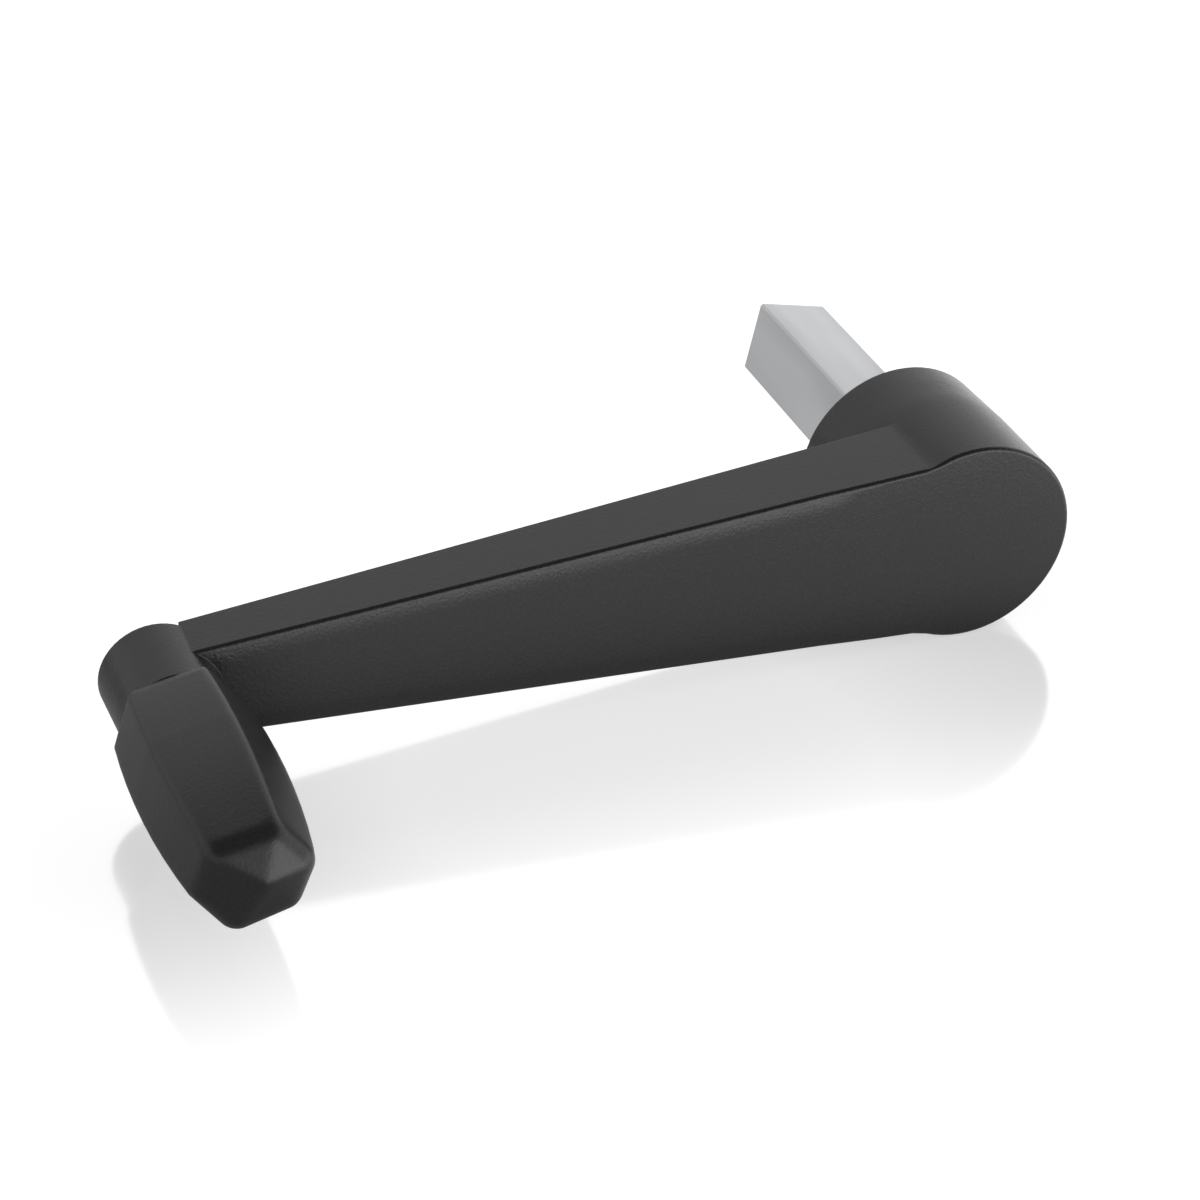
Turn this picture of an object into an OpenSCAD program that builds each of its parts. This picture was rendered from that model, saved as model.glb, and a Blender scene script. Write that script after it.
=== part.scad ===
// Crank handle: a moulded plastic crank arm with a square steel drive bar moulded into its hub,
// and a faceted grip that turns on a steel spindle screwed into the arm's far end.
//
// The crank axis runs along Y, and the arm points to -X. The origin lies on the crank axis, in
// the plane of the shoulder that the hub bears with. The bar points to +Y and the grip to -Y.
// Every piece is drawn upright, with Z counting forward from the shoulder towards the grip, and
// in_place() turns it into the frame above.

/* [Crank arm] */
// Distance from the crank axis to the grip axis
crank_radius = 125; // [105:1:160]
// Width of the arm where its edges would cross the crank axis
arm_w_hub = 30.2; // [28:0.1:31.4]
// Width of the arm at the grip axis
arm_w_boss = 13.9; // [12:0.1:15]
// Thickness of the arm at the crank axis
arm_t_hub = 14.4; // [12:0.2:20]
// Thickness of the arm at the grip axis
arm_t_boss = 8.4; // [7:0.2:10]
// Thickness of the skin behind the arm's front face
skin_t = 3; // [2:0.2:4.4]
// Thickness of the side walls of the arm
wall_t = 2.4; // [1.6:0.2:3.2]
// Radius of the blend between the arm's edges and the hub
blend_r = 8; // [3:1:16]
// Radius of the blend between the arm's edges and the boss
boss_blend_r = 3; // [1:0.5:6]

/* [Ribs at the back of the arm] */
// Thickness of the crossed ribs
rib_t = 1.6; // [1:0.2:2.4]
// Number of crossed pairs of ribs
rib_bays = 7; // [5:1:9]
// Solid land left round the hub and round the boss
rib_land = 1; // [0.6:0.1:2]

/* [Front edges] */
// Radius of the small round on every front edge
edge_r = 0.6; // [0.3:0.1:1]
// Radius of the crowned band along the arm's two long edges
crown_r = 18; // [12:1:30]
// Width of the crowned band
crown_w = 3.5; // [2:0.25:4]
// Distance from the crank axis at which the crowned band starts to fade
fade_start = 24; // [20:1:30]
// Length over which the crowned band fades out
fade_len = 13; // [8:1:16]

/* [Hub] */
// Diameter of the hub at its front face
hub_d_front = 32.8; // [32.2:0.1:36]
// Diameter of the hub at its shoulder, smaller by the mould's draft
hub_d_back = 31.9; // [31:0.1:32.2]
// Depth of the hub from the front face to the shoulder
hub_depth = 27.6; // [24:0.2:36]
// Inner radius of the relief pockets in the shoulder
pocket_r_in = 9.6; // [9.2:0.1:10.4]
// Outer radius of the relief pockets in the shoulder
pocket_r_out = 13.4; // [12:0.1:14]
// Depth of the relief pockets
pocket_depth = 20; // [10:1:21]
// Angle that each relief pocket covers
pocket_arc = 58; // [40:1:70]

/* [Drive bar] */
// Width across the flats of the square bar
bar_af = 12; // [11:0.1:12.4]
// Chamfer along the bar's four edges
bar_chamfer = 0.35; // [0.1:0.05:0.8]
// Length of bar that stands out of the shoulder
bar_out = 42.5; // [25:0.5:70]
// Length of bar held in the hub
bar_in = 22; // [18:0.5:22]
// Turn of the square about the crank axis, as the photograph shows it
bar_turn = -12.5; // [-45:0.5:45]
// Width of the turned groove that keeps the bar in the moulding
bar_groove_w = 4; // [2:0.5:6]
// Depth of that groove, measured in from the bar's corners
bar_groove_d = 1.4; // [0.8:0.1:2]

/* [Boss and insert] */
// Diameter of the boss at its front end, where the grip sits against it
boss_d = 16.1; // [15.6:0.1:17]
// Diameter of the boss at the back of the arm, larger by the mould's draft
boss_d_back = 16.5; // [15.8:0.1:17.4]
// Distance from the arm's front face back to the flat back of the boss
boss_depth = 7.7; // [7:0.1:8.4]
// Height of the boss above the arm's front face
boss_proud = 5.6; // [4:0.2:7]
// Diameter of the brass insert over its knurl
insert_d = 10.4; // [9.6:0.2:11]
// Length of the brass insert
insert_len = 11.6; // [9:0.2:12]
// Depth of the knurl's grooves
knurl_d = 0.35; // [0.2:0.05:0.5]
// Number of grooves in the knurl
knurl_n = 20; // [16:1:24]
// Width of the plain waist between the two knurled bands
waist_w = 2.2; // [1.4:0.2:3]
// Diameter of the thread in the insert, drawn plain
thread_d = 6; // [5:0.5:6.5]

/* [Grip spindle] */
// Diameter of the shank that the grip turns on
shank_d = 8; // [7.5:0.1:8.6]
// Length of the shank in front of its collar
shank_len = 31; // [27:0.5:32]
// Diameter of the collar that seats on the boss
collar_d = 12.6; // [11.5:0.1:13]
// Thickness of the collar
collar_t = 1.2; // [0.8:0.1:1.6]
// Width across the flats of the key socket in the spindle's end
socket_af = 4; // [3:0.5:4]
// Depth of the key socket
socket_depth = 4; // [2:0.5:4.5]

/* [Retaining ring] */
// Diameter of the ring's wire
ring_wire = 1.2; // [0.9:0.1:1.4]
// How deep the ring sits in the spindle
ring_seat = 0.55; // [0.4:0.05:0.7]
// Distance from the ring to the end of the spindle
ring_back = 5.5; // [5:0.25:7]
// Angle of the opening in the ring
ring_gap = 40; // [20:5:60]

/* [Grip] */
// Distance from the grip's axis to its two broad faces, at the thickest place
grip_broad = 8.8; // [8.5:0.05:9.4]
// Distance from the grip's axis to its four other faces, at the thickest place
grip_side = 9.2; // [8.9:0.05:9.8]
// Angle between those four faces and the grip's broad axis, square to the broad faces
grip_side_angle = 27.5; // [25:0.5:32]
// Radius of the bow of the faces along the grip
grip_bow_r = 158; // [120:2:300]
// Distance from the grip's rear face to its thickest place
grip_belly = 14.2; // [11:0.2:19]
// Length of the grip from its rear face to the point of its nose
grip_len = 40.2; // [38:0.2:46]
// Radius of the rounding along the edges between the faces
grip_edge_r = 1; // [0.6:0.1:1.6]
// Radius of the rounding round the grip's rear face
grip_rear_r = 0.3; // [0.1:0.05:0.5]
// Radius of the rounding between the faces and the nose
grip_nose_r = 2.9; // [2:0.1:3.6]
// Radius of the rounding at the point of the nose
grip_point_r = 2; // [1:0.1:2.6]
// Slope of the three faces of the nose
nose_slope = 17.8; // [8:0.2:24]
// How far the point of the nose lies to the side of the grip's axis, along the broad faces
nose_side = 0.9; // [0:0.1:1.6]
// How far the point of the nose lies off the grip's axis, towards one broad face
nose_up = 0.6; // [0:0.1:1.6]
// Turn of the grip on its spindle at rest, as the photograph shows it
grip_turn = 10.5; // [-60:0.5:60]

/* [Clearances] */
// Gap between the grip's rear face and the boss
rim_gap = 0.1; // [0.1:0.05:0.5]
// Radial running clearance between shank and grip
run_clear = 0.05; // [0.02:0.01:0.1]
// Clearance round the collar, the ring and the spindle's end, inside the grip
free_clear = 0.3; // [0.2:0.05:0.4]
// End play between the collar and the grip
end_play = 0.2; // [0.1:0.05:0.3]

/* [Hidden] */

$fn = 64;
// Number of flat steps in a rounded edge of a profile
edge_steps = 8;
// Length by which a cut runs past the surface that it opens
past = 1;

hub_r = hub_d_front / 2;
boss_r = boss_d / 2;
arm_taper = atan((arm_w_hub - arm_w_boss) / 2 / crank_radius);
boss_back = hub_depth - boss_depth;
boss_front = hub_depth + boss_proud;
// The crown's arc starts level with the front face and ends in the small edge round, whose
// centre lies on the same circle as an arc inside the crown
edge_rise = sqrt(pow(crown_r - edge_r, 2) - pow(crown_w - edge_r, 2));
edge_join = atan2(edge_rise, crown_w - edge_r);
edge_centre_z = edge_rise - crown_r;
crown_drop = crown_r - sqrt(crown_r * crown_r - crown_w * crown_w);
// Sections of the front edges, from the face inwards out to the wall, which stands at zero
crowned_rim = concat(
    arc([-crown_w, -crown_r], crown_r, 90, edge_join, edge_steps),
    rest(arc([-edge_r, edge_centre_z], edge_r, edge_join, 0, edge_steps)));
plain_rim = arc([-edge_r, -edge_r], edge_r, 90, 0, edge_steps);
// The crossed ribs run between these two distances from the crank axis
rib_from = sqrt(pow(hub_r + rib_land, 2) - pow(inner_w(0), 2));
rib_to = crank_radius - sqrt(pow(boss_r + rib_land, 2) - pow(inner_w(crank_radius), 2));
rib_pitch = (rib_to - rib_from) / rib_bays;

bar_corner_r = bar_af / sqrt(2);
insert_back = boss_front - insert_len;
collar_front = boss_front + collar_t;
shank_end = collar_front + shank_len;
ring_z = shank_end - ring_back;
ring_mid_r = shank_d / 2 - ring_seat + ring_wire / 2;
// Side clearance of the ring in the spindle's groove
ring_side = 0.05;
shank_bevel = 0.6;

grip_back = boss_front + rim_gap;
bore_r = shank_d / 2 + run_clear;
grip_tip = grip_back + grip_len;
// The rows of the grip's rounded sections, from the rear rounding to inside the nose
grip_from = grip_back + grip_rear_r;
grip_to = grip_tip - grip_nose_r - 2;
grip_rows = 9;

// Each blend sinks a little into the walls that it joins, so that it never runs level with them
blend_sink = 0.02;

// Half the width of the arm at a distance from the crank axis
function half_w(d) = (arm_w_hub - (arm_w_hub - arm_w_boss) * d / crank_radius) / 2;

// Half the width between the arm's side walls at a distance from the crank axis
function inner_w(d) = half_w(d) - wall_t / cos(arm_taper);

// Level of the arm's back face at a distance from the crank axis
function back_z(d) = hub_depth - arm_t_hub + (arm_t_hub - arm_t_boss) * d / crank_radius;

// Points of an arc round a centre
function arc(centre, r, from, to, steps) = [
    for (i = [0:steps])
        let (a = from + (to - from) * i / steps)
            centre + r * [cos(a), sin(a)]
];

// The points of a list after its first one
function rest(points) = [for (i = [1:len(points) - 1]) points[i]];

// How much closer the grip's faces lie to its axis at a level, because of their bow
function bow(z) = pow(z - grip_back - grip_belly, 2) / (2 * grip_bow_r);

// Corners of the grip's section: six faces, two of them broad, moved in by an amount
function grip_corners(inset) = let (
        b = grip_broad - inset,
        s = grip_side - inset,
        x_side = s / cos(grip_side_angle),
        x_broad = (s - b * sin(grip_side_angle)) / cos(grip_side_angle)
    )
    [[x_side, 0], [x_broad, b], [-x_broad, b], [-x_side, 0], [-x_broad, -b], [x_broad, -b]];

// Level of the nose's three faces over a point, lowered by an amount square to the face
function nose_z(p, inset) = min([
    for (a = [60, 180, 300])
        let (reach = (p - [nose_side, nose_up]) * [cos(a), sin(a)])
            grip_tip - tan(nose_slope) * reach - inset / cos(nose_slope)
]);

// Turns an upright piece into the frame: its axis along Y, forward towards -Y
module in_place() {
    rotate([90, 0, 0]) children();
}

// Moves an upright piece from the crank axis to the grip axis
module at_grip() {
    translate([-crank_radius, 0, 0]) children();
}

// A round piece whose front edge is rounded, drafted up to a level and straight in front of it
module turned_boss(r_back, r_front, draft_to, depth, round_r) {
    rim = arc([r_front - round_r, depth - round_r], round_r, 0, 90, edge_steps);
    rotate_extrude()
        polygon(concat([[0, 0], [r_back, 0], [r_front, draft_to]], rim, [[0, depth]]));
}

// What is taken off along a straight front edge with the given section
module edge_waste(length, rim) {
    end = rim[len(rim) - 1];
    outside = [[past, end[1]], [past, past], [rim[0][0], past]];
    rotate([90, 0, 90]) linear_extrude(length) polygon(concat(rim, outside));
}

// The waste along one long edge: crowned from the boss, fading out, then only the small round
module edge_cuts() {
    straight = (crank_radius - fade_start) / cos(arm_taper);
    fade_angle = atan(crown_drop / fade_len);
    translate([-crank_radius, half_w(crank_radius), hub_depth])
        rotate([0, 0, arm_taper]) {
            translate([-boss_d, 0, 0]) edge_waste(boss_d + straight, crowned_rim);
            translate([straight - edge_r, 0, 0]) {
                edge_waste(fade_start + edge_r, plain_rim);
                rotate([0, -fade_angle, 0]) edge_waste(fade_len + 2 * edge_r, crowned_rim);
            }
        }
}

// The hollow blend between one long edge and a round of the given radius at the origin. The
// line of the edge passes the origin at line_h, and side tells on which side the blend lies.
module edge_blend(line_h, round_r, r, side, rim) {
    reach = round_r + r - blend_sink;
    centre_y = line_h + r - blend_sink;
    back = sqrt(reach * reach - centre_y * centre_y);
    centre = [side * back, centre_y];
    turn = atan2(back, centre_y);
    start = side > 0 ? centre * round_r / reach : [-back, line_h];
    rotate([0, 0, arm_taper])
        difference() {
            linear_extrude(hub_depth) polygon([[side * back, 0], centre, centre / 2]);
            translate([side * back, centre_y, -past]) cylinder(r = r, h = hub_depth + 2 * past);
            translate([start[0], start[1], hub_depth])
                rotate([0, 0, -side * turn / 2])
                    translate([-past, 0, 0])
                        edge_waste(2 * r * sin(turn / 2) + 2 * past, rim);
        }
}

// Both blends of one long edge: a wide one at the hub and a tight one at the boss
module edge_blends() {
    edge_blend(half_w(0) * cos(arm_taper), hub_r, blend_r, -1, plain_rim);
    at_grip()
        edge_blend(half_w(crank_radius) * cos(arm_taper), boss_r, boss_blend_r, 1, crowned_rim);
}

// Side view of the arm, whose back face rises from the hub to the boss and is flat from there
module side_view() {
    end = crank_radius + boss_d;
    top = boss_front + past;
    // The flat begins about where the arm's edges run into the boss
    step = crank_radius - boss_r / 2;
    rotate([90, 0, 0])
        linear_extrude(2 * arm_w_hub, center = true)
            polygon([[past, back_z(-past)], [past, top], [-end, top], [-end, boss_back],
                [-step, boss_back], [-step, back_z(step)]]);
}

// The arm's blade and boss: their plan and front edges, cut off at the back by the side view
module arm_blade() {
    far = crank_radius + boss_r / 3;
    boss_len = boss_front - boss_back + past;
    intersection() {
        union() {
            difference() {
                linear_extrude(hub_depth)
                    polygon([[0, half_w(0)], [-far, half_w(far)], [-far, -half_w(far)],
                        [0, -half_w(0)]]);
                edge_cuts();
                mirror([0, 1, 0]) edge_cuts();
            }
            edge_blends();
            mirror([0, 1, 0]) edge_blends();
            at_grip()
                translate([0, 0, boss_back - past])
                    turned_boss(boss_d_back / 2, boss_r, boss_len - edge_r, boss_len, edge_r / 2);
        }
        side_view();
    }
}

// A straight rib in plan, between two points
module plan_rib(p, q) {
    run = q - p;
    translate(p)
        rotate([0, 0, atan2(run[1], run[0])])
            translate([-rib_t, -rib_t / 2])
                square([norm(run) + 2 * rib_t, rib_t]);
}

// Plan of the hollows at the back of the arm, between its walls and the crossed ribs
module rib_hollows() {
    difference() {
        polygon([[-rib_from, inner_w(rib_from)], [-rib_to, inner_w(rib_to)],
            [-rib_to, -inner_w(rib_to)], [-rib_from, -inner_w(rib_from)]]);
        circle(r = hub_r + rib_land);
        translate([-crank_radius, 0]) circle(r = boss_r + rib_land);
        for (i = [0:rib_bays - 1], side = [-1, 1]) {
            d = rib_from + i * rib_pitch;
            e = d + rib_pitch;
            plan_rib([-d, side * inner_w(d)], [-e, -side * inner_w(e)]);
        }
    }
}

// The four relief pockets in the shoulder, one beside each flat of the bar
module hub_pockets() {
    for (i = [0:3])
        rotate([0, 0, bar_turn + 90 * i - pocket_arc / 2])
            rotate_extrude(angle = pocket_arc)
                translate([pocket_r_in, -past])
                    square([pocket_r_out - pocket_r_in, pocket_depth + past]);
}

// The square bar, with a groove turned in its corners where the moulding grips it
module bar_shape() {
    flat = bar_af / 2;
    cut = flat - bar_chamfer;
    groove_r = bar_corner_r - bar_groove_d;
    rotate([0, 0, bar_turn])
        difference() {
            translate([0, 0, -bar_out])
                linear_extrude(bar_out + bar_in)
                    polygon([[flat, cut], [cut, flat], [-cut, flat], [-flat, cut],
                        [-flat, -cut], [-cut, -flat], [cut, -flat], [flat, -cut]]);
            translate([0, 0, (bar_in - bar_groove_w) / 2])
                difference() {
                    cylinder(r = bar_corner_r + past, h = bar_groove_w);
                    translate([0, 0, -past])
                        cylinder(r = groove_r, h = bar_groove_w + 2 * past);
                }
        }
}

// The insert's outside: two knurled bands with a plain waist between them
module insert_shape() {
    valley = insert_d / 2 - knurl_d;
    band = (insert_len - waist_w) / 2;
    cylinder(r = valley - knurl_d, h = insert_len);
    for (z = [0, insert_len - band])
        translate([0, 0, z])
            linear_extrude(band)
                polygon([
                    for (i = [0:2 * knurl_n - 1])
                        let (r = i % 2 == 0 ? insert_d / 2 : valley)
                            r * [cos(180 * i / knurl_n), sin(180 * i / knurl_n)]
                ]);
}

// A thin slice of the grip at a level: six faces with soft edges, moved in by an amount
module grip_slice(z, inset) {
    translate([0, 0, z])
        linear_extrude(0.01)
            offset(r = grip_edge_r, $fn = 40)
                polygon(grip_corners(bow(z) + grip_edge_r + inset));
}

// The grip's outside before it is bored: bowed faces, soft edges and a nose of three faces
module grip_block() {
    hull() {
        for (a = [0, 30, 60])
            grip_slice(grip_back + grip_rear_r * (1 - cos(a)), grip_rear_r * (1 - sin(a)));
        for (i = [0:grip_rows - 1])
            grip_slice(grip_from + (grip_to - grip_from) * i / (grip_rows - 1), 0);
        for (p = grip_corners(bow(grip_to) + grip_nose_r))
            translate([p[0], p[1], nose_z(p, grip_nose_r)])
                sphere(r = grip_nose_r, $fn = 32);
        translate([nose_side, nose_up, nose_z([nose_side, nose_up], grip_point_r)])
            sphere(r = grip_point_r, $fn = 32);
    }
}

// The crank arm: blade, hub and boss in one glass-filled nylon moulding
module crank_arm() {
    color([0.23, 0.23, 0.24])
        in_place()
            difference() {
                union() {
                    difference() {
                        arm_blade();
                        translate([0, 0, -past])
                            linear_extrude(hub_depth - skin_t + past) rib_hollows();
                    }
                    turned_boss(hub_d_back / 2, hub_r, back_z(0) - 1, hub_depth, edge_r);
                }
                hub_pockets();
                bar_shape();
                at_grip()
                    translate([0, 0, insert_back])
                        insert_shape();
            }
}

// The drive bar: bright square steel bar, moulded into the hub
module drive_bar() {
    color([0.8, 0.81, 0.82])
        in_place() bar_shape();
}

// The brass insert that is moulded into the boss, with the spindle's thread
module boss_insert() {
    color([0.76, 0.62, 0.32])
        in_place()
            at_grip()
                translate([0, 0, insert_back])
                    difference() {
                        insert_shape();
                        translate([0, 0, -past])
                            cylinder(r = thread_d / 2, h = insert_len + 2 * past);
                    }
}

// The spindle: threaded end, collar, shank with the ring's groove, and a key socket
module grip_spindle() {
    shank_r = shank_d / 2;
    groove_r = ring_mid_r - ring_wire / 2 - ring_side;
    groove_half = ring_wire / 2 + ring_side;
    color([0.7, 0.71, 0.73])
        in_place()
            at_grip()
                difference() {
                    rotate_extrude()
                        polygon([[0, insert_back], [thread_d / 2, insert_back],
                            [thread_d / 2, boss_front], [collar_d / 2, boss_front],
                            [collar_d / 2, collar_front], [shank_r, collar_front],
                            [shank_r, ring_z - groove_half], [groove_r, ring_z - groove_half],
                            [groove_r, ring_z + groove_half], [shank_r, ring_z + groove_half],
                            [shank_r, shank_end - shank_bevel], [shank_r - shank_bevel, shank_end],
                            [0, shank_end]]);
                    translate([0, 0, shank_end - socket_depth])
                        cylinder(r = socket_af / sqrt(3), h = socket_depth + past, $fn = 6);
                }
}

// The ring: a split ring of spring wire, which snaps into the groove inside the grip
module retaining_ring() {
    color([0.55, 0.56, 0.58])
        in_place()
            at_grip()
                translate([0, 0, ring_z])
                    rotate([0, 0, ring_gap / 2])
                        rotate_extrude(angle = 360 - ring_gap)
                            translate([ring_mid_r, 0])
                                circle(r = ring_wire / 2);
}

// The grip: one faceted moulding with a blind bore, a seat for the collar and a ring groove
module grip() {
    collar_floor = collar_front + end_play;
    groove_half = ring_wire / 2 + free_clear;
    color([0.25, 0.25, 0.26])
        in_place()
            at_grip()
                rotate([0, 0, grip_turn])
                    difference() {
                        grip_block();
                        translate([0, 0, grip_back - past])
                            cylinder(r = collar_d / 2 + free_clear, h = collar_floor - grip_back + past);
                        translate([0, 0, grip_back])
                            cylinder(r = bore_r, h = shank_end + free_clear - grip_back);
                        translate([0, 0, ring_z - groove_half])
                            cylinder(r = ring_mid_r + ring_wire / 2 + free_clear, h = 2 * groove_half);
                    }
}

crank_arm();
drive_bar();
boss_insert();
grip_spindle();
retaining_ring();
grip();
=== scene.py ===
import math

import bmesh
import bpy
from mathutils import Matrix, Vector


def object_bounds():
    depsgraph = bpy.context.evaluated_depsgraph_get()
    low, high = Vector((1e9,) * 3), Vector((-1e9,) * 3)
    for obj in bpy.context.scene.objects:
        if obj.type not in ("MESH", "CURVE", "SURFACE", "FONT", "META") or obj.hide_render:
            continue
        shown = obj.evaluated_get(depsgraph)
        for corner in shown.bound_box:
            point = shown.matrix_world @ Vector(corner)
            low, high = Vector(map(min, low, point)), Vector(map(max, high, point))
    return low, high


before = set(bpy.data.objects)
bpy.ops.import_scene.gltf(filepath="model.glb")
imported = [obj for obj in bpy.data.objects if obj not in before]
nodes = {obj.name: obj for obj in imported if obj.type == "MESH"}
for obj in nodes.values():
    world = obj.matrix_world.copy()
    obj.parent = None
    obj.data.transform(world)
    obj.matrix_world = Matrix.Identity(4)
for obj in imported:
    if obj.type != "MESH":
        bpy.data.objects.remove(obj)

cad_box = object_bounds()
scene = bpy.context.scene
scene.view_settings.view_transform = "Standard"

# Camera: half a metre away at the front left, with a long lens, looking down on the crank by a
# third of a right angle. The focal length is in pixels of the square frame, the turns in radians.
FRAME_PX = 1200
FOCAL_PX = 3316.2
SENSOR_MM = 36
CAMERA_AT = Vector((-0.21132, -0.404, 0.26273))
LOOK_RIGHT = 0.38112
LOOK_DOWN = 0.56971
LEAN = -0.01988

camera_data = bpy.data.cameras.new("camera")
camera_data.sensor_fit = "HORIZONTAL"
camera_data.sensor_width = SENSOR_MM
camera_data.lens = FOCAL_PX / FRAME_PX * SENSOR_MM
camera_data.clip_start = 0.01
camera_data.clip_end = 20
camera = bpy.data.objects.new("camera", camera_data)
camera.matrix_world = (
    Matrix.Translation(CAMERA_AT)
    @ Matrix.Rotation(-LOOK_RIGHT, 4, "Z")
    @ Matrix.Rotation(math.pi / 2 - LOOK_DOWN, 4, "X")
    @ Matrix.Rotation(-LEAN, 4, "Z")
)
scene.collection.objects.link(camera)
scene.camera = camera


# Floor: a white acrylic sheet, cast and slightly glossy, that the hub lies on. It is as white as
# the wall behind it and shows a soft reflection of the crank.
def linear(hex_colour):
    """Turns an sRGB hex colour into the linear numbers that a shader takes."""
    parts = [int(hex_colour[i:i + 2], 16) / 255 for i in (1, 3, 5)]
    return tuple(p / 12.92 if p <= 0.04045 else ((p + 0.055) / 1.055) ** 2.4 for p in parts) + (1,)


def add(tree, kind, settings=(), inputs=(), links=()):
    """Adds a node: its settings, the values of its inputs, and the sockets that feed them."""
    node = tree.nodes.new(kind)
    for name, value in dict(settings).items():
        setattr(node, name, value)
    for name, value in dict(inputs).items():
        node.inputs[name].default_value = value
    for name, socket in dict(links).items():
        tree.links.new(socket, node.inputs[name])
    return node


def new_material(name):
    """A material with nothing in its tree but the output."""
    material = bpy.data.materials.new(name)
    material.use_nodes = True
    tree = material.node_tree
    tree.nodes.clear()
    return material, tree, tree.nodes.new("ShaderNodeOutputMaterial")


FLOOR_HALF_M = 6
FLOOR_Z = cad_box[0][2]
WHITE = (1, 1, 1, 1)
TIMES = {"operation": "MULTIPLY"}
DOT = {"operation": "DOT_PRODUCT"}
SOFT_STEP = {"interpolation_type": "SMOOTHSTEP"}
# A span holds two places, in metres from the crank axis unless said, and the levels at them
SPAN = ("From Min", "From Max", "To Min", "To Max")

# Cast acrylic scatters most light inside and mirrors a little at its polished face
acrylic, tree, output = new_material("white_acrylic_sheet")
white = add(tree, "ShaderNodeBsdfDiffuse", inputs={"Color": linear("#f2f2f2")})
gloss = add(tree, "ShaderNodeBsdfAnisotropic", inputs={"Color": WHITE, "Roughness": 0.11})
place = add(tree, "ShaderNodeTexCoord")
spot = add(tree, "ShaderNodeSeparateXYZ", links={"Vector": place.outputs["Object"]})
ray = add(tree, "ShaderNodeLightPath")

# The crank's gloss shows the sheet glowing brightly in front and at the right, and dim at the left.
# This is a painted pool of light and painted shade: an emission of the sheet that only glossy rays
# see. The blade's flat front mirrors the painted dim strip under the arm, and its crowned edge the
# painted bright pool.
TO_FRONT = (0.1, -1, 0)
PAINTED_SHADE_UNDER_ARM = (0.03, 0.042, 0.25, 0.58)
PAINTED_POOL_EDGE = (0.085, 0.122)
PAINTED_POOL = (0.135, 0.27, 3, 0.8)
TO_RIGHT = (1, 0.3, 0)
PAINTED_GLOW_RIGHT = (0.005, 0.05, 0, 0.6)
PAINTED_SHADE_LEFT = (-0.12, -0.095, 0, 1)
# For the camera the sheet is raised to the white of the wall
GLOW_FOR_CAMERA = 0.91
ahead = add(tree, "ShaderNodeVectorMath", DOT, {1: TO_FRONT}, {0: place.outputs["Object"]})
under = add(tree, "ShaderNodeMapRange", (), zip(SPAN, PAINTED_SHADE_UNDER_ARM), {"Value": ahead.outputs["Value"]})
far = add(tree, "ShaderNodeMapRange", (), zip(SPAN, PAINTED_POOL), {"Value": ahead.outputs["Value"]})
front = add(
    tree, "ShaderNodeMapRange", SOFT_STEP, zip(SPAN, PAINTED_POOL_EDGE),
    {"Value": ahead.outputs["Value"], "To Min": under.outputs[0], "To Max": far.outputs[0]},
)
beside = add(tree, "ShaderNodeVectorMath", DOT, {1: TO_RIGHT}, {0: place.outputs["Object"]})
right = add(
    tree, "ShaderNodeMapRange", SOFT_STEP, zip(SPAN, PAINTED_GLOW_RIGHT),
    {"Value": beside.outputs["Value"]},
)
off_left = add(
    tree, "ShaderNodeMapRange", SOFT_STEP, zip(SPAN, PAINTED_SHADE_LEFT),
    {"Value": spot.outputs["X"]},
)
both = add(
    tree, "ShaderNodeMath", {"operation": "ADD"},
    links={0: front.outputs[0], 1: right.outputs[0]},
)
painted_glow = add(tree, "ShaderNodeMath", TIMES, links={0: both.outputs[0], 1: off_left.outputs[0]})
# Painted light: for glossy rays only, the sheet glows by this amount, and no lamp lights it there
painted_glow_in_gloss = add(
    tree, "ShaderNodeMath", TIMES,
    links={0: painted_glow.outputs[0], 1: ray.outputs["Is Glossy Ray"]},
)
strength = add(
    tree, "ShaderNodeMath", {"operation": "MULTIPLY_ADD"}, {1: GLOW_FOR_CAMERA},
    {0: ray.outputs["Is Camera Ray"], 2: painted_glow_in_gloss.outputs[0]},
)
glow = add(tree, "ShaderNodeEmission", (), {"Color": WHITE}, {"Strength": strength.outputs[0]})
lit = add(tree, "ShaderNodeAddShader", links={0: white.outputs[0], 1: glow.outputs[0]})

# The sheet's own reflection of the crank fades towards the front, away from the crank, and behind
REFLECTION_FRONT = (-0.112, -0.04, 0, 0.29)
REFLECTION_BACK = (-0.01, 0.03)
LEVEL_BEHIND = 0.08
REFLECTION_MIDDLE = (-0.06, -0.045, FLOOR_Z)
FROM_MIDDLE = (0.035, 0.08, 0.95, 1.6)
OUTER_EDGE = (0.085, 0.13)
LEVEL_OUTSIDE = 0.05
fade = add(
    tree, "ShaderNodeMapRange", SOFT_STEP, zip(SPAN, REFLECTION_FRONT),
    {"Value": spot.outputs["Y"]},
)
off_middle = add(
    tree, "ShaderNodeVectorMath", {"operation": "DISTANCE"}, {1: REFLECTION_MIDDLE},
    {0: place.outputs["Object"]},
)
ends = add(
    tree, "ShaderNodeMapRange", (), zip(SPAN, FROM_MIDDLE),
    {"Value": off_middle.outputs["Value"]},
)
near_crank = add(
    tree, "ShaderNodeMapRange", SOFT_STEP,
    {"From Min": OUTER_EDGE[0], "From Max": OUTER_EDGE[1], "To Max": LEVEL_OUTSIDE},
    {"Value": off_middle.outputs["Value"], "To Min": ends.outputs[0]},
)
in_front = add(tree, "ShaderNodeMath", TIMES, links={0: fade.outputs[0], 1: near_crank.outputs[0]})
shine = add(
    tree, "ShaderNodeMapRange", SOFT_STEP,
    {"From Min": REFLECTION_BACK[0], "From Max": REFLECTION_BACK[1], "To Max": LEVEL_BEHIND},
    {"Value": spot.outputs["Y"], "To Min": in_front.outputs[0]},
)
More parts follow.
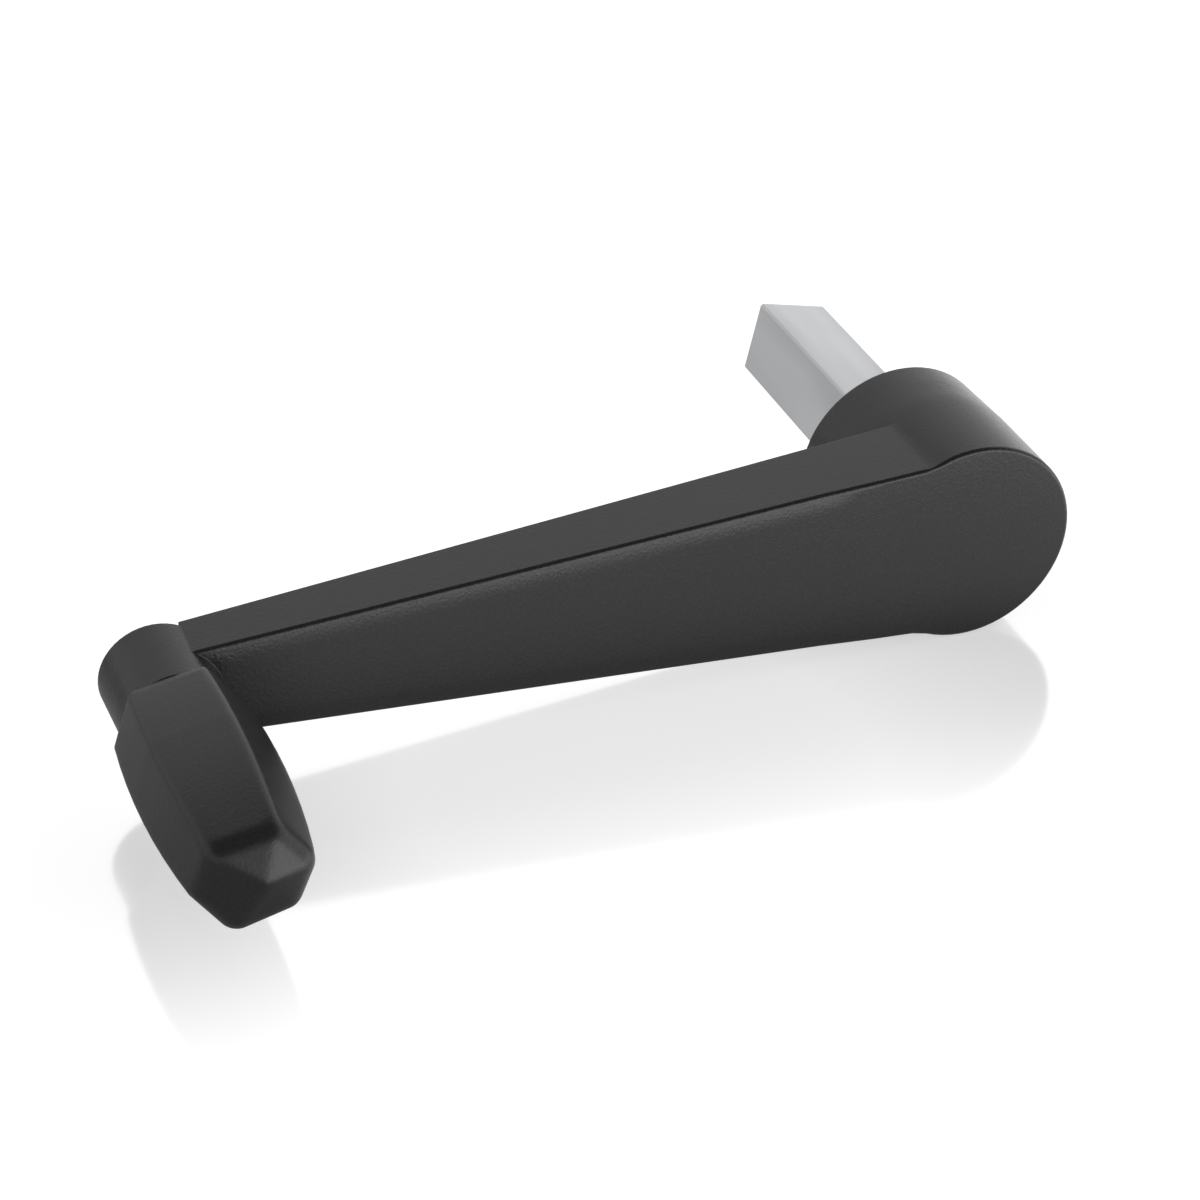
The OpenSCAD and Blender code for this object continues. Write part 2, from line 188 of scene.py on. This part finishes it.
# It mirrors less from above: this span runs over one less the sine of the viewing angle
FROM_ABOVE = (0.1, 0.33, 0.3, 1)
slant = add(tree, "ShaderNodeLayerWeight", inputs={"Blend": 0.5})
low_view = add(
    tree, "ShaderNodeMapRange", SOFT_STEP, zip(SPAN, FROM_ABOVE),
    {"Value": slant.outputs["Facing"]},
)
slanted = add(tree, "ShaderNodeMath", TIMES, links={0: shine.outputs[0], 1: low_view.outputs[0]})
sheen = add(
    tree, "ShaderNodeMath", TIMES,
    links={0: slanted.outputs[0], 1: ray.outputs["Is Camera Ray"]},
)
surface = add(
    tree, "ShaderNodeMixShader",
    links={0: sheen.outputs[0], 1: lit.outputs[0], 2: gloss.outputs[0]},
)
tree.links.new(surface.outputs[0], output.inputs["Surface"])

shape = bmesh.new()
bmesh.ops.create_grid(shape, x_segments=1, y_segments=1, size=FLOOR_HALF_M)
bmesh.ops.translate(shape, verts=shape.verts, vec=(0, 0, FLOOR_Z))
floor_mesh = bpy.data.meshes.new("floor")
shape.to_mesh(floor_mesh)
shape.free()
floor = bpy.data.objects.new("floor", floor_mesh)
floor.data.materials.append(acrylic)
scene.collection.objects.link(floor)

# Studio: a white room, dimmer at the left, with a dark ceiling that the crank's rounded upper edges
# show as a thin dark line. A wide softbox stands low in front at the right.
CEILING_TILT = math.radians(15)
CEILING_AXIS = Vector((0, -math.sin(CEILING_TILT), math.cos(CEILING_TILT)))
CEILING_HALF_ANGLE = 53
CEILING_SOFT = 5
CEILING_LEVEL = 0.17
LEFT_LEVEL = 0.6
RIGHT_LEVEL = 0.9
SOFTBOX_AT = Vector((0.42, -1.05, 0.02))
SOFTBOX_AIM = Vector((-0.06, 0, 0))
SOFTBOX_WIDTH = 0.55
SOFTBOX_HEIGHT = 0.34
SOFTBOX_WATTS = 1.2

world = bpy.data.worlds.new("studio_room")
scene.world = world
world.use_nodes = True
tree = world.node_tree
tree.nodes.clear()
direction = add(tree, "ShaderNodeTexCoord")
towards = add(
    tree, "ShaderNodeVectorMath", DOT, {1: CEILING_AXIS},
    {0: direction.outputs["Generated"]},
)
sides = add(tree, "ShaderNodeSeparateXYZ", links={"Vector": direction.outputs["Generated"]})
walls = add(
    tree, "ShaderNodeMapRange", (), zip(SPAN, (-1, 1, LEFT_LEVEL, RIGHT_LEVEL)),
    {"Value": sides.outputs["X"]},
)
ceiling = add(
    tree, "ShaderNodeMapRange", SOFT_STEP,
    {
        "From Min": math.cos(math.radians(CEILING_HALF_ANGLE + CEILING_SOFT)),
        "From Max": math.cos(math.radians(CEILING_HALF_ANGLE - CEILING_SOFT)),
        "To Max": CEILING_LEVEL,
    },
    {"Value": towards.outputs["Value"], "To Min": walls.outputs[0]},
)
room = add(tree, "ShaderNodeBackground", (), {"Color": WHITE}, {"Strength": ceiling.outputs[0]})
wall = add(tree, "ShaderNodeBackground", inputs={"Color": WHITE, "Strength": 1})
ray = add(tree, "ShaderNodeLightPath")
seen = add(
    tree, "ShaderNodeMixShader",
    links={0: ray.outputs["Is Camera Ray"], 1: room.outputs[0], 2: wall.outputs[0]},
)
add(tree, "ShaderNodeOutputWorld", links={"Surface": seen.outputs[0]})

lamp_data = bpy.data.lights.new("side_softbox", "AREA")
lamp_data.shape = "RECTANGLE"
lamp_data.size = SOFTBOX_WIDTH
lamp_data.size_y = SOFTBOX_HEIGHT
lamp_data.energy = SOFTBOX_WATTS
lamp = bpy.data.objects.new("side_softbox", lamp_data)
facing = (SOFTBOX_AIM - SOFTBOX_AT).to_track_quat("-Z", "Y")
lamp.matrix_world = Matrix.Translation(SOFTBOX_AT) @ facing.to_matrix().to_4x4()
scene.collection.objects.link(lamp)

# Crank arm: blade, hub and boss moulded in one shot from nylon with glass fibre, coloured black
# right through. It is hollow behind, between crossed ribs, and its edges are barely broken.
# Points closer than this are one point, and edges that turn by more than this angle stay sharp
WELD_M = 0.000002
SHARP_EDGE = math.radians(25)
# How far a corner's shading follows its large faces, from 1 to 100
FACE_WEIGHT = 80


def dress(name, material):
    """Gives a CAD node its material, shades its rounds as curves and keeps its edges sharp."""
    node = nodes[name]
    node.data.materials.clear()
    node.data.materials.append(material)
    for face in node.data.polygons:
        face.use_smooth = True
    weld = node.modifiers.new("weld", "WELD")
    weld.merge_threshold = WELD_M
    split = node.modifiers.new("split", "EDGE_SPLIT")
    split.split_angle = SHARP_EDGE
    weighted = node.modifiers.new("weighted", "WEIGHTED_NORMAL")
    weighted.weight = FACE_WEIGHT
    weighted.keep_sharp = True


def moulded_plastic(name, hollow_shade, peaks, roughness, depth_mm, edge_mm):
    """Black plastic with the grain of a spark eroded mould, with painted shade in the low spots of
    the grain.

    The depth is that of the grain, and the edge is the radius that the edges look rounded to.
    """
    # The real grain is a tenth of a millimetre, and half a millimetre is the least that shows
    grain_mm = 0.5
    # Flow in the mould leaves patches the size of a fingertip that are a trace duller or glossier
    patch_mm = 14
    uneven = 0.02
    # Nearly all of a noise lies between these two values
    noise_low, noise_high = 0.3, 0.7
    nylon_ior = 1.53
    material, tree, output = new_material(name)
    place = add(tree, "ShaderNodeTexCoord")
    grain = add(
        tree, "ShaderNodeTexNoise", {"noise_dimensions": "3D"},
        {"Scale": 1000 / grain_mm, "Detail": 3, "Roughness": 0.6},
        {"Vector": place.outputs["Object"]},
    )
    edges = add(tree, "ShaderNodeBevel", {"samples": 8}, {"Radius": edge_mm / 1000})
    bump = add(
        tree, "ShaderNodeBump", (),
        {"Strength": 1, "Distance": depth_mm / 1000},
        {"Height": grain.outputs[0], "Normal": edges.outputs[0]},
    )
    patches = add(
        tree, "ShaderNodeTexNoise", {"noise_dimensions": "3D"},
        {"Scale": 1000 / patch_mm, "Detail": 2},
        {"Vector": place.outputs["Object"]},
    )
    dull = add(
        tree, "ShaderNodeMapRange", (),
        zip(SPAN, (noise_low, noise_high, roughness - uneven, roughness + uneven)),
        {"Value": patches.outputs[0]},
    )
    # Painted shade: the colour runs from the plastic's own colour on the grain's peaks to a near
    # black in its low spots, standing in for the shade there
    grain_shade = add(
        tree, "ShaderNodeMix", {"data_type": "RGBA"},
        {6: linear(hollow_shade), 7: linear(peaks)}, {0: grain.outputs[0]},
    )
    shader = add(
        tree, "ShaderNodeBsdfPrincipled", (), {"IOR": nylon_ior},
        {"Base Color": grain_shade.outputs[2], "Roughness": dull.outputs[0], "Normal": bump.outputs[0]},
    )
    tree.links.new(shader.outputs[0], output.inputs["Surface"])
    return material


# Glass fibre makes the nylon greyish black, and the grain gives it a satin skin with a fine sparkle
# The darker of the two colours is painted shade in the low spots of the grain
arm_plastic = moulded_plastic(
    "glass_filled_nylon", hollow_shade="#080808", peaks="#303032", roughness=0.25,
    depth_mm=0.055, edge_mm=0.2,
)
dress("crank_arm", arm_plastic)

# Drive bar: a square bar of cold drawn steel, bright as drawn, moulded into the hub. It fits a
# square socket in the shaft.

# The die leaves faint lines along the bar. The real ones are a few hundredths of a millimetre wide
# and are drawn wider, so that they show.
LINE_MM = 0.4
LINE_LENGTH_MM = 26.7
LINE_HEIGHT_MM = 0.0015
# The flats are slightly wavy, so that they mirror the room in soft streaks of lighter and darker
# grey. The height is the bump's, set by the look of the streaks, and the real waves are far lower.
WAVE_MM = 9
WAVE_LENGTH_MM = 36
WAVE_HEIGHT_MM = 0.6
bright_steel, tree, output = new_material("cold_drawn_steel")
place = add(tree, "ShaderNodeTexCoord")
along = add(
    tree, "ShaderNodeMapping", (), {"Scale": (1, LINE_MM / LINE_LENGTH_MM, 1)},
    {"Vector": place.outputs["Object"]},
)
lines = add(
    tree, "ShaderNodeTexNoise", (), {"Scale": 1000 / LINE_MM, "Detail": 2},
    {"Vector": along.outputs[0]},
)
drawn = add(
    tree, "ShaderNodeBump", (), {"Strength": 1, "Distance": LINE_HEIGHT_MM / 1000},
    {"Height": lines.outputs[0]},
)
stretched = add(
    tree, "ShaderNodeMapping", (), {"Scale": (1, WAVE_MM / WAVE_LENGTH_MM, 1)},
    {"Vector": place.outputs["Object"]},
)
waves = add(
    tree, "ShaderNodeTexNoise", (), {"Scale": 1000 / WAVE_MM, "Detail": 1},
    {"Vector": stretched.outputs[0]},
)
wavy = add(
    tree, "ShaderNodeBump", (), {"Strength": 1, "Distance": WAVE_HEIGHT_MM / 1000},
    {"Height": waves.outputs[0], "Normal": drawn.outputs[0]},
)
# Painted reflection: the steel's colour turns lighter and darker along the same waves, which
# strengthens the streaks that it mirrors
painted_streaks = add(
    tree, "ShaderNodeMix", {"data_type": "RGBA"},
    {6: linear("#aeafb2"), 7: linear("#eaebec")}, {0: waves.outputs[0]},
)
shader = add(
    tree, "ShaderNodeBsdfPrincipled", (), {"Metallic": 1, "Roughness": 0.2},
    {"Base Color": painted_streaks.outputs[2], "Normal": wavy.outputs[0]},
)
tree.links.new(shader.outputs[0], output.inputs["Surface"])
dress("drive_bar", bright_steel)


# Insert, spindle and ring: a knurled brass insert moulded into the boss, a steel spindle screwed
# into it, and a ring of spring wire that keeps the grip on. All are out of sight.
def turned_metal(name, colour, roughness, ring_mm):
    """Turned metal: fine rings left by the tool, one after another along the piece's axis."""
    # A wave texture repeats 20 / (2 pi) times in a unit at a scale of 1
    waves_per_unit = 20 / (2 * math.pi)
    height_mm = 0.002
    material, tree, output = new_material(name)
    place = add(tree, "ShaderNodeTexCoord")
    rings = add(
        tree, "ShaderNodeTexWave", {"bands_direction": "Y"},
        {"Scale": 1000 / ring_mm / waves_per_unit, "Distortion": 0.4},
        {"Vector": place.outputs["Object"]},
    )
    bump = add(
        tree, "ShaderNodeBump", (), {"Strength": 1, "Distance": height_mm / 1000},
        {"Height": rings.outputs[0]},
    )
    shader = add(
        tree, "ShaderNodeBsdfPrincipled", (),
        {"Base Color": linear(colour), "Metallic": 1, "Roughness": roughness},
        {"Normal": bump.outputs[0]},
    )
    tree.links.new(shader.outputs[0], output.inputs["Surface"])
    return material


# The real rings are a tenth of a millimetre apart and are drawn wider, so that they show. Brass is
# a warm yellow, turned steel a plain grey, and drawn spring wire a darker grey.
dress("boss_insert", turned_metal("turned_brass", "#d9b266", roughness=0.32, ring_mm=0.754))
dress("grip_spindle", turned_metal("turned_steel", "#c4c5c8", roughness=0.34, ring_mm=0.754))
dress("retaining_ring", turned_metal("spring_wire", "#9a9b9f", roughness=0.3, ring_mm=1.257))

# Grip: moulded from unfilled nylon in the same black, six-sided with bowed faces, soft edges and a
# slanting nose. It is pushed on over the ring and turns on the spindle.

# Without glass fibre the skin is smoother and a little duller than the arm's
# The darker of the two colours is painted shade in the low spots of the grain
grip_plastic = moulded_plastic(
    "black_nylon", hollow_shade="#0c0c0c", peaks="#323234", roughness=0.3,
    depth_mm=0.03, edge_mm=1.9,
)
dress("grip", grip_plastic)
